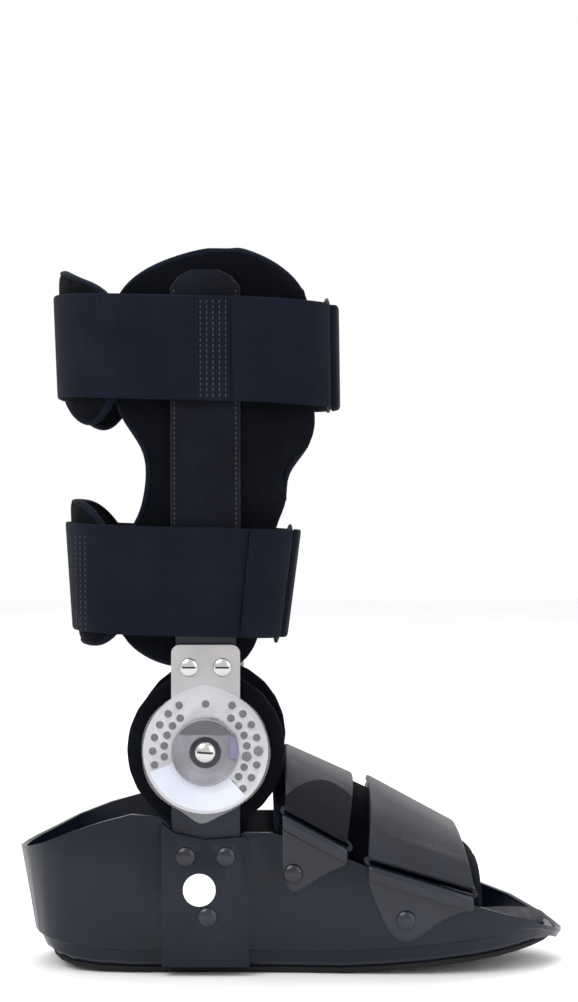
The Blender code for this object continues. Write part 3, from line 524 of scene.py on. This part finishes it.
def outward(nodeName):  # the node's inner and outer distance from the middle plane
    low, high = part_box(nodeName)
    return sorted((abs(low[1]), abs(high[1])))


def addDisc(name, radius, near, far, side, vertices, place=(hingeX, hingeZ)):
    bpy.ops.object.select_all(action="DESELECT")
    bpy.ops.mesh.primitive_cylinder_add(vertices=vertices, radius=radius, depth=far - near,
                                        location=(place[0], side * (near + far) / 2, place[1]),
                                        rotation=(math.radians(90), 0, 0))
    piece = bpy.context.object
    piece.name = name
    settle(piece)
    return piece


def useBoolean(piece, other, operation):
    step = piece.modifiers.new(operation.title(), "BOOLEAN")
    step.operation, step.object = operation, other
    applyAll(piece)
    bpy.data.objects.remove(other, do_unlink=True)


def cutAway(*cuts):  # each cut is a point and a way, and what lies behind it goes
    bpy.ops.object.mode_set(mode="EDIT")
    for point, way in cuts:
        bpy.ops.mesh.select_all(action="SELECT")
        bpy.ops.mesh.bisect(plane_co=point, plane_no=way, use_fill=True, clear_inner=True)
    bpy.ops.object.mode_set(mode="OBJECT")


def stepFace(piece, side, steps):  # insets of the outer face, each with a move outwards
    clearFlags("FACE")
    for face in piece.data.polygons:
        face.select = face.normal.y * side > 0.9
    bpy.ops.object.mode_set(mode="EDIT")
    for thickness, move in steps:
        bpy.ops.mesh.inset(thickness=thickness)
        bpy.ops.transform.translate(value=(0, side * move, 0))
    bpy.ops.object.mode_set(mode="OBJECT")


def roundEdges(piece, width, bevelTurn=40, smoothTurn=35):
    addBevel(piece, width, 2, bevelTurn)
    applyAll(piece)
    smoothFaces(piece, smoothTurn)


def makeDialArm(code, side):
    nodeName = "upper_arm_" + code
    near, far = outward(nodeName)
    piece = addDisc(nodeName + "_fine", dial["radius"], near, far, side, 128)
    bpy.ops.object.select_all(action="DESELECT")
    height = dial["top"] - hingeZ
    bpy.ops.mesh.primitive_cube_add(size=1, location=(hingeX, side * (near + far) / 2, hingeZ + height / 2),
                                    scale=(dial["width"], far - near, height))
    bar = bpy.context.object
    settle(bar)
    clearFlags("EDGE")
    for edge in bar.data.edges:
        first, second = (bar.data.vertices[i].co for i in edge.vertices)
        through = abs(first.x - second.x) < dial["close"]
        edge.select = through and min(first.z, second.z) > dial["top"] - dial["close"]
    bpy.ops.object.mode_set(mode="EDIT")
    bpy.ops.mesh.bevel(offset=dial["corner"], segments=6)
    bpy.ops.object.mode_set(mode="OBJECT")
    useBoolean(piece, bar, "UNION")
    holes, inner, outer = [], near - dial["past"], far + dial["past"]
    for row in holeRows:
        for i in range(row["count"]):
            turn = math.radians(row["first"] + dial["holeTurn"] * i)
            place = (hingeX + row["out"] * math.sin(turn), hingeZ + row["out"] * math.cos(turn))
            holes.append(addDisc("hole", dial["hole"], inner, outer, side, 20, place))
    holes.append(addDisc("hole", dial["pivotHole"], inner, outer, side, 32))
    selectOnly(holes[0])
    for hole in holes:
        hole.select_set(True)
    bpy.ops.object.join()
    useBoolean(piece, bpy.context.object, "DIFFERENCE")
    roundEdges(piece, dial["edge"], smoothTurn=30)
    finishPiece(piece, stampedSilver, "shank", [nodeName])


heads = {
    "pivot_": {"radius": 0.0052, "height": 0.0026, "slotTurn": 94, "body": "base", "slot": "silver",
               "material": polishedSteel},
    "arm_screw_": {"radius": 0.0045, "height": 0.0016, "slotTurn": 90, "body": "shank", "slot": "silver",
                   "material": polishedSteel},
    "rivet": {"radius": 0.0048, "height": 0.0019, "slotTurn": None, "body": "base", "slot": "rivet",
              "material": rivetBlack},
}
groove = {"shares": (1.75, 0.9, 0.2), "inlay": (1.45, 0.12, 0.19), "depth": 0.44, "lift": 0.0001,
          "shaft": 0.42, "into": 0.0002}


def addSlotBar(place, y, turn, shares, look):  # a flat bar across a head, sized by shares of the head
    bpy.ops.object.select_all(action="DESELECT")
    bpy.ops.mesh.primitive_cube_add(size=1, location=(place[0], y, place[1]),
                                    rotation=(0, math.radians(turn - 90), 0),
                                    scale=(look["radius"] * shares[0], look["height"] * shares[1],
                                           look["radius"] * shares[2]))
    bar = bpy.context.object
    settle(bar)
    return bar


def makeHead(nodeName, side, look):
    radius, height = look["radius"], look["height"]
    low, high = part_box(nodeName)
    near, far = outward(nodeName)
    place = ((low[0] + high[0]) / 2, (low[2] + high[2]) / 2)
    base = far - height
    bpy.ops.object.select_all(action="DESELECT")
    bpy.ops.mesh.primitive_uv_sphere_add(segments=40, ring_count=24, radius=1,
                                         location=(place[0], side * base, place[1]),
                                         rotation=(math.radians(90), 0, 0), scale=(radius, radius, height))
    piece = bpy.context.object
    piece.name = nodeName + "_head"
    settle(piece)
    cutAway(((0, side * base, 0), (0, side, 0)))
    if look["slotTurn"] is not None:
        cutter = addSlotBar(place, side * (far + groove["lift"]), look["slotTurn"], groove["shares"], look)
        useBoolean(piece, cutter, "DIFFERENCE")
        inlayY = side * (far - height * groove["depth"])
        inlay = addSlotBar(place, inlayY, look["slotTurn"], groove["inlay"], look)
        inlay.name = nodeName + "_slot"
        finishPiece(inlay, rivetBlack, look["body"])
    shaft = addDisc("shaft", radius * groove["shaft"], near, base + groove["into"], side, 24, place)
    useBoolean(piece, shaft, "UNION")
    smoothFaces(piece, 35)
    finishPiece(piece, look["material"], look["body"], [nodeName])


cover = {"radius": 0.0308, "edge": 0.0003, "steps": ((0.0016, 0.0003), (0.0012, -0.0005)),
         "lobes": 6, "lobeTurn": 0.4, "lobeSize": 0.010, "tabPast": 0.06, "tabSize": 0.105, "tabWidth": 0.20,
         "bumpSize": 0.022, "bumpWidth": 0.22, "waveSize": 0.03, "waveWidth": 0.18}
window = {"radius": 0.0162, "edge": 0.0002, "depth": 0.0016, "gap": 0.0003, "cutDepth": 0.006,
          "steps": ((0.0009, 0), (0.0004, -0.0006), (0.0050, 0), (0.0004, 0.0004), (0.0022, 0),
                    (0.0003, -0.0005))}
# the painted reflection's sector behind the clear cover's lower half
paintedReflectionSector = {"radius": 0.0284, "near": 0.0009, "far": 0.0003, "cutDepth": 0.004, "turns": (228, 160)}
# the painted shadow across the window's top
shade = {"inset": 0.0016, "height": 0.0085, "depth": 0.0007, "lift": 0.0001}
index = {"inset": 0.0006, "ahead": 0.0118, "below": 0.0030, "above": 0.0078, "depth": 0.0002, "lift": 0.0006,
         "edge": 0.0003}
washer = {"radius": 0.0074, "depth": 0.0002, "lift": 0.0003, "edge": 0.0002}


def lobe(turn, size, width):
    return size * math.exp(-((turn / width) ** 2))


def coverScale(turn):  # soft lobes at the rim, with a tab at the bottom and a bump to the toe
    lobes = cover["lobeSize"] * math.cos(cover["lobes"] * turn + cover["lobeTurn"])
    tab = lobe(turn - math.pi - cover["tabPast"], cover["tabSize"], cover["tabWidth"])
    bump = lobe(turn - math.pi * 0.5, cover["bumpSize"], cover["bumpWidth"])
    wave = lobe(min(turn, 2 * math.pi - turn), cover["waveSize"], cover["waveWidth"])
    return 1 + lobes + tab + bump + wave


def makeCover(code, side):
    nodeName = "dial_cover_" + code
    near, far = outward(nodeName)
    piece = addDisc(nodeName + "_fine", cover["radius"], near, far, side, 144)
    stepFace(piece, side, cover["steps"])
    for vertex in piece.data.vertices:
        x, z = vertex.co.x - hingeX, vertex.co.z - hingeZ
        scale = coverScale(math.atan2(x, z) % (2 * math.pi))
        vertex.co.x, vertex.co.z = hingeX + x * scale, hingeZ + z * scale
    hole = addDisc("hole", window["radius"] + window["gap"], near - dial["past"], far + dial["past"], side, 64)
    useBoolean(piece, hole, "DIFFERENCE")
    roundEdges(piece, cover["edge"])
    finishPiece(piece, clearCover, "base", [nodeName])


# painted reflection: a milky sector stands for the pale floor mirrored in the cover's lower half
def makePaintedReflection(code, side):  # the milky lower half behind the clear cover
    near = outward("dial_cover_" + code)[0]
    piece = addDisc("dial_painted_reflection_" + code, paintedReflectionSector["radius"], near - paintedReflectionSector["near"], near - paintedReflectionSector["far"],
                    side, 96)
    hole = addDisc("hole", window["radius"], near - paintedReflectionSector["cutDepth"], near + dial["past"], side, 64)
    useBoolean(piece, hole, "DIFFERENCE")
    turns = [math.radians(turn) for turn in paintedReflectionSector["turns"]]
    cutAway(*(((hingeX, 0, hingeZ), (math.sin(turn), 0, math.cos(turn))) for turn in turns))
    smoothFaces(piece, 35)
    finishPiece(piece, paintedReflectionPlastic, "shank")


def makeWindow(code, side):
    nodeName = "dial_window_" + code
    near, far = outward(nodeName)
    piece = addDisc(nodeName + "_fine", window["radius"], near - window["depth"], far, side, 96)
    stepFace(piece, side, window["steps"])
    hole = addDisc("hole", dial["pivotHole"], near - window["cutDepth"], far + dial["past"], side, 32)
    useBoolean(piece, hole, "DIFFERENCE")
    roundEdges(piece, window["edge"])
    finishPiece(piece, smokyWindow, "base", [nodeName])
    # painted shadow: an opaque dark grey segment over the window's top stands for the shade there
    upper = addDisc("dial_painted_shadow_" + code, window["radius"] - shade["inset"], far - shade["depth"],
                    far + shade["lift"], side, 96)
    cutAway(((0, 0, hingeZ + shade["height"]), (0, 0, 1)))
    finishPiece(upper, paintedShadowPlastic, "base")
    mark = addDisc("dial_index_" + code, window["radius"] - index["inset"], far - index["depth"],
                   far + index["lift"], side, 96)
    cutAway(((hingeX + index["ahead"], 0, 0), (1, 0, 0)), ((0, 0, hingeZ - index["below"]), (0, 0, 1)),
            ((0, 0, hingeZ + index["above"]), (0, 0, -1)))
    roundEdges(mark, index["edge"], 30)
    finishPiece(mark, indexPlastic, "base")
    ring = addDisc("pivot_washer_" + code, washer["radius"], far - washer["depth"],
                   far + washer["lift"], side, 64)
    roundEdges(ring, washer["edge"], 30)
    finishPiece(ring, rivetBlack, "base")


for code, side in sideSigns.items():
    makeDialArm(code, side)
    makeCover(code, side)
    makePaintedReflection(code, side)
    makeWindow(code, side)
    makeHead("pivot_" + code, side, heads["pivot_"])
    for number in "12":
        makeHead("arm_screw_" + code + number, side, heads["arm_screw_"])
    for nodeName in list(nodes):
        ofSide = nodeName.startswith("tab_rivet_") and nodeName.endswith("_" + code)
        if ofSide or nodeName.startswith("base_rivet_" + code):
            makeHead(nodeName, side, heads["rivet"])
print("stage: hinge")


# shell, sole, rings and arms as smooth copies

smoothCopies = {
    "sole_shell": {"body": "base", "slot": "shell", "material": shellPlastic, "bevel": 0.0007, "angle": 38},
    "outsole": {"body": "base", "slot": "rubber", "material": treadRubber, "bevel": 0.0004, "angle": 38},
    "insole": {"body": "base", "slot": "insole", "material": insoleCloth, "bevel": 0.0012, "angle": 38},
    "size_disc": {"body": "base", "slot": "disc", "material": discWhite, "bevel": 0.0001, "angle": 50},
    "lower_arm_l": {"body": "base", "slot": "dark_steel", "material": darkSteel, "bevel": 0.0003, "angle": 38},
    "lower_arm_m": {"body": "base", "slot": "dark_steel", "material": darkSteel, "bevel": 0.0003, "angle": 38},
    "upright_bar_l": {"body": "shank", "slot": "dark_steel", "material": darkSteel, "bevel": 0.0003,
                      "angle": 38},
    "upright_bar_m": {"body": "shank", "slot": "dark_steel", "material": darkSteel, "bevel": 0.0003,
                      "angle": 38},
    "limit_pin": {"body": "shank", "slot": "foam", "material": rivetBlack, "bevel": 0.0003, "angle": 50},
    "ring_": {"body": "base", "slot": "dark_steel", "material": darkSteel, "rounds": 2},
    "calf_ring": {"body": "shank", "slot": "dark_steel", "material": darkSteel, "rounds": 2},
}


def makeSmooth(nodeName, settings):
    piece = copyNode(nodeName, nodeName + "_fine")
    if "rounds" in settings:
        addSubdivision(piece, settings["rounds"])
    else:
        addBevel(piece, settings["bevel"], 3, settings["angle"])
    applyAll(piece)
    smoothFaces(piece, settings.get("angle", 60))
    finishPiece(piece, settings["material"], settings["body"], [nodeName])


for start, settings in smoothCopies.items():
    for nodeName in [name for name in nodes if name.startswith(start)]:
        makeSmooth(nodeName, settings)
print("stage: shell and metal")


# camera, floor and lights

camera = {"place": (-0.001, -1.1, 0.228), "lens": 52.7, "sensor": 24.0}
lampAim = (0, 0, 0.17)
lamps = [
    {"name": "keyLamp", "place": (-0.9, -1.3, 1.5), "size": 1.2, "power": 22},
    {"name": "fillLamp", "place": (1.3, -1.2, 0.8), "size": 1.4, "power": 8},
    {"name": "topLamp", "place": (0.1, 0.5, 1.6), "size": 1.4, "power": 14},
]

lens = bpy.data.cameras.new("viewCamera")
lens.sensor_fit, lens.sensor_height, lens.lens = "VERTICAL", camera["sensor"], camera["lens"]
viewer = bpy.data.objects.new("viewCamera", lens)
viewer.location, viewer.rotation_euler = camera["place"], (math.radians(90), 0, 0)
bpy.context.scene.collection.objects.link(viewer)
bpy.context.scene.camera = viewer
bpy.context.scene.view_settings.view_transform = "Standard"

for lampLook in lamps:
    lampData = bpy.data.lights.new(lampLook["name"], "AREA")
    lampData.energy, lampData.size = lampLook["power"], lampLook["size"]
    lamp = bpy.data.objects.new(lampLook["name"], lampData)
    lamp.location = lampLook["place"]
    aim = Vector(lampAim) - lamp.location
    lamp.rotation_euler = aim.to_track_quat("-Z", "Y").to_euler()
    bpy.context.scene.collection.objects.link(lamp)

floorLook = {"dark": (0.92, 0.92, 0.94), "light": (0.96, 0.96, 0.97), "roughness": 0.7, "size": 8,
             "height": -0.0004}
world = bpy.data.worlds.new("studio")
bpy.context.scene.world = world
world.use_nodes = True
world.node_tree.nodes["Background"].inputs["Color"].default_value = (1.0, 1.0, 1.0, 1)
world.node_tree.nodes["Background"].inputs["Strength"].default_value = 1.0

bpy.ops.object.select_all(action="DESELECT")
bpy.ops.mesh.primitive_plane_add(size=floorLook["size"], location=(0, 0, floorLook["height"]))
floor = bpy.context.object
floor.name = "floor"
floorMaterial, floorTree, floorShader, floorCoords = startMaterial("paleFloor")
floorNoise = addNoise(floorTree, floorCoords, 3, 3)
floorShade = ramp(floorTree, floorNoise, floorLook["dark"], floorLook["light"])
floorTree.links.new(floorShade, floorShader.inputs["Base Color"])
floorShader.inputs["Roughness"].default_value = floorLook["roughness"]
floor.data.materials.append(floorMaterial)
print("stage: camera and lights")

bpy.context.view_layer.update()
